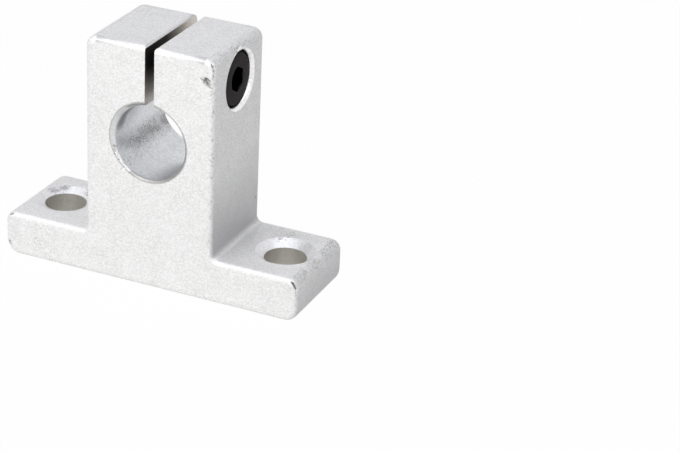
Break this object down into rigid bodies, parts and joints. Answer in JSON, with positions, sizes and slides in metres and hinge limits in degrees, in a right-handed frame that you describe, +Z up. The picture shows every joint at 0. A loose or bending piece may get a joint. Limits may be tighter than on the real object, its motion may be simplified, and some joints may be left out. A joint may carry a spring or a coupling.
{
  "type": "flanged shaft support block",
  "caption": "Flanged aluminium support for a 10 mm round shaft, with a split clamp bore, a socket-head clamp screw and two countersunk mounting holes.",
  "frame": {"origin": "middle of the base's underside", "axes": "+X along the base, towards the clamp screw's head; +Y along the shaft; +Z up, away from the mounting surface"},
  "size_m": [0.042, 0.014, 0.0328],
  "materials": {
    "blasted_aluminium": "fine bead-blasted and clear anodised, light silver",
    "black_steel": "black oxide on steel, satin"
  },
  "bodies": {
    "support": {"block": "blasted_aluminium"},
    "screw": {"clamp_screw": "black_steel"}
  },
  "joints": [
    {"name": "clamp_screw_turn", "type": "hinge", "parent": "support", "child": "screw", "pos_m": [0.0046, 0, 0.028], "axis": [1, 0, 0], "range_deg": [0, 3470]}
  ]
}
